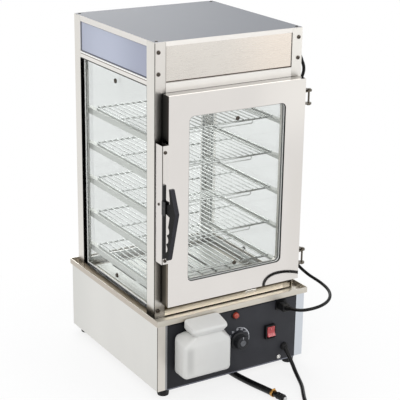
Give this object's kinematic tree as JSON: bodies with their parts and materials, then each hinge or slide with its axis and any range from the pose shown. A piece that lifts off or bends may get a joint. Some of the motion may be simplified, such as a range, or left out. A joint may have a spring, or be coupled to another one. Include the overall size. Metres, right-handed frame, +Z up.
{
  "type": "heated display case",
  "caption": "Countertop heated display case: glass cabinet with wire racks on a steam base, hinged glass door, filler box, controls, cords and drain hose.",
  "frame": {"origin": "on the floor under the middle of the footprint of the case, without its free cords and hose", "axes": "+Z up, the door and controls face -Y, +X to the right seen from the front"},
  "size_m": [0.3935, 0.7228, 0.7316],
  "materials": {
    "steel": "satin",
    "door_steel": "satin",
    "hinge_steel": "satin",
    "chrome_wire": "bright",
    "panel_black": "satin",
    "black_plastic": "moulded",
    "black_rubber": "matt",
    "tinted_acrylic": "gloss",
    "clear_glass": "clear",
    "lamp_white": "gloss",
    "heater_metal": "satin",
    "brass": "bright",
    "white_plastic": "moulded",
    "red_plastic": "moulded"
  },
  "bodies": {
    "cabinet": {"base_housing": "steel", "base_bottom_plate": "steel", "drip_tray": "steel", "water_pan": "steel", "steam_plate": "steel", "corner_post_front_left": "steel", "corner_post_front_right": "steel", "rear_corner_posts": "steel", "shelf_pilasters": "steel", "frame_rails": "steel", "steel_header_panels": "steel", "top_panel": "steel", "ceiling_panel": "steel", "shelf_rails": "steel", "hinge_brackets": "hinge_steel", "hinge_pins": "hinge_steel", "cabinet_screws": "hinge_steel", "wire_rack_1": "chrome_wire", "wire_rack_2": "chrome_wire", "wire_rack_3": "chrome_wire", "wire_rack_4": "chrome_wire", "wire_rack_5": "chrome_wire", "control_panel": "panel_black", "switch_housing": "black_plastic", "lamp_socket": "black_plastic", "thermostat_body": "black_plastic", "lamp_plug": "black_plastic", "mains_plug": "black_plastic", "mains_gland": "black_plastic", "lamp_cable_grommet": "black_plastic", "lamp_holders": "black_plastic", "rubber_feet": "black_rubber", "glass_gaskets": "black_rubber", "glass_studs": "black_rubber", "lamp_cable": "black_rubber", "mains_cord": "black_rubber", "mains_coil": "black_rubber", "drain_hose": "black_rubber", "hose_stopper": "black_rubber", "light_box_panels": "tinted_acrylic", "glass_panes": "clear_glass", "lamp_tube": "lamp_white", "heating_element": "heater_metal", "hose_clamp": "brass", "water_filler_box": "white_plastic", "pilot_lamp": "red_plastic"},
    "door": {"door_outer_skin": "door_steel", "door_inner_panel": "door_steel", "door_glass": "clear_glass", "window_seal": "black_rubber", "door_gasket": "black_rubber", "latch_plate": "steel", "latch_base": "black_plastic", "handle_pin": "hinge_steel", "door_screws": "hinge_steel", "hinge_leaves": "hinge_steel"},
    "latch_handle": {"handle_grip": "black_plastic"},
    "thermostat_knob": {"thermostat_knob": "black_plastic"},
    "switch_rocker": {"switch_rocker": "red_plastic"},
    "filler_lid": {"filler_lid": "white_plastic"}
  },
  "joints": [
    {"name": "door_hinge", "type": "hinge", "parent": "cabinet", "child": "door", "pos_m": [0.17985, -0.1534, 0.4], "axis": [0, 0, 1], "range_deg": [0, 120]},
    {"name": "latch_handle_hinge", "type": "hinge", "parent": "door", "child": "latch_handle", "pos_m": [-0.16705, -0.1755, 0.412], "axis": [-1, 0, 0], "range_deg": [0, 10], "stiffness_Nm_per_rad": 1.5},
    {"name": "thermostat_turn", "type": "hinge", "parent": "cabinet", "child": "thermostat_knob", "pos_m": [0.01095, -0.1707, 0.0895], "axis": [0, 1, 0], "range_deg": [0, 270]},
    {"name": "switch_rock", "type": "hinge", "parent": "cabinet", "child": "switch_rocker", "pos_m": [0.08945, -0.1677, 0.092], "axis": [1, 0, 0], "range_deg": [0, 18]},
    {"name": "filler_lid_lift", "type": "slide", "parent": "cabinet", "child": "filler_lid", "axis": [0, 0, 1], "range_m": [0, 0.02]}
  ]
}
